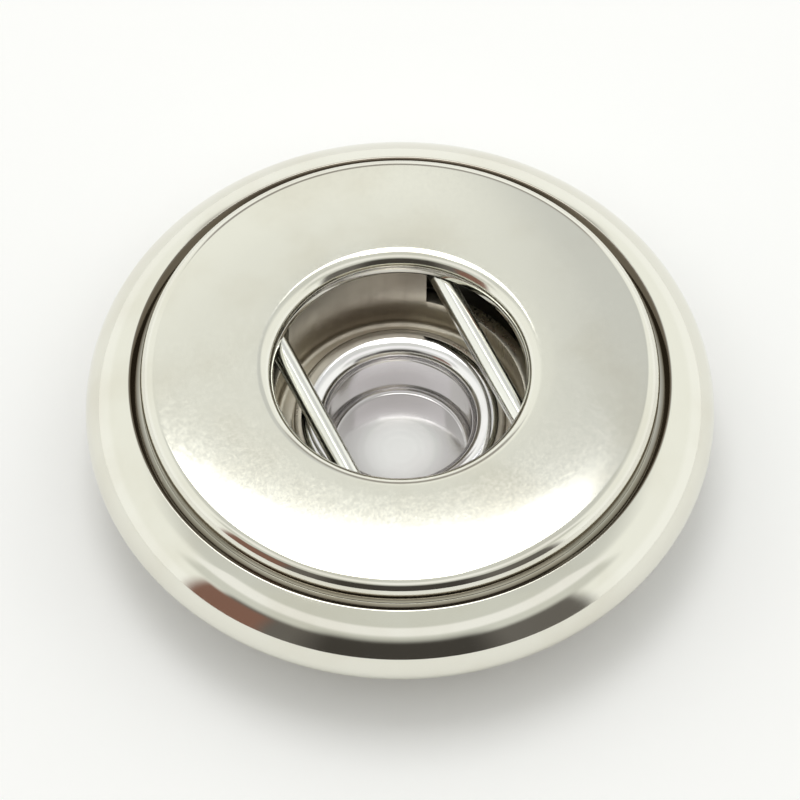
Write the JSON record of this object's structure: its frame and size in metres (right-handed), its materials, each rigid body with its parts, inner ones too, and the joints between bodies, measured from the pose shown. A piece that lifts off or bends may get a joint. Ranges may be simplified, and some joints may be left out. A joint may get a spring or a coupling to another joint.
{
  "type": "electrode snap fastener",
  "caption": "Round metal snap fastener socket with a flat mating face, a mouth crossed by parallel spring wire legs, a closed thimble with a rolled rim in the mouth, a rolled outer rim and a dished back.",
  "frame": {"origin": "middle of the thimble's closed end, which the snap stands on", "axes": "+Z out of the flat mating face, along the mouth's axis; the spring's straight legs run along Y and cross the mouth on its +X and -X sides"},
  "size_m": [0.0104, 0.0104, 0.0028],
  "materials": {
    "bright_nickel": "bright nickel plate on brass, satin on the flat face",
    "barrel_nickel": "barrel-plated nickel on drawn brass",
    "thimble_nickel": "bright nickel plate on drawn brass, satin on the floor",
    "plate_nickel": "satin nickel plate on pressed brass",
    "spring_steel": "bright drawn stainless spring wire"
  },
  "bodies": {
    "root": {"front_shell": "bright_nickel", "socket_barrel": "barrel_nickel", "tail_thimble": "thimble_nickel", "back_plate": "plate_nickel", "spring_wire": "spring_steel"}
  },
  "joints": []
}
